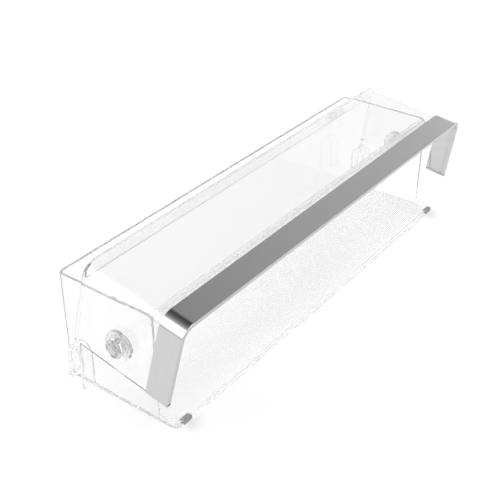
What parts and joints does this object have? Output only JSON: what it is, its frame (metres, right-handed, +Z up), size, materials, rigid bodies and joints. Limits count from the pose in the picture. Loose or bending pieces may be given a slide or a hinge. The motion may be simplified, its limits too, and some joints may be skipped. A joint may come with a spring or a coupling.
{
  "type": "fridge door shelf",
  "caption": "Clear open-fronted door shelf with a pivoting clear hood and a folded steel handle strip; open arch hooks on its ends hang on lugs.",
  "frame": {"origin": "middle of the tray's underside", "axes": "+X along the shelf to its right end, -Y out of its open front, +Z up"},
  "size_m": [0.4918, 0.1451, 0.1331],
  "materials": {
    "clear_plastic": "clear, polished",
    "steel": "fine brushed stainless",
    "button_plastic": "clear, moulded",
    "grey_rubber": "smooth grey"
  },
  "bodies": {
    "shelf": {"tray": "clear_plastic", "pivot_button_left": "button_plastic", "pivot_button_right": "button_plastic", "stop_pad_left": "grey_rubber", "stop_pad_right": "grey_rubber"},
    "lid": {"hood": "clear_plastic", "handle_strip": "steel"}
  },
  "joints": [
    {"name": "hood_pivot", "type": "hinge", "parent": "shelf", "child": "lid", "pos_m": [0, -0.0073, 0.067], "axis": [1, 0, 0], "range_deg": [-7, 79.5]}
  ]
}
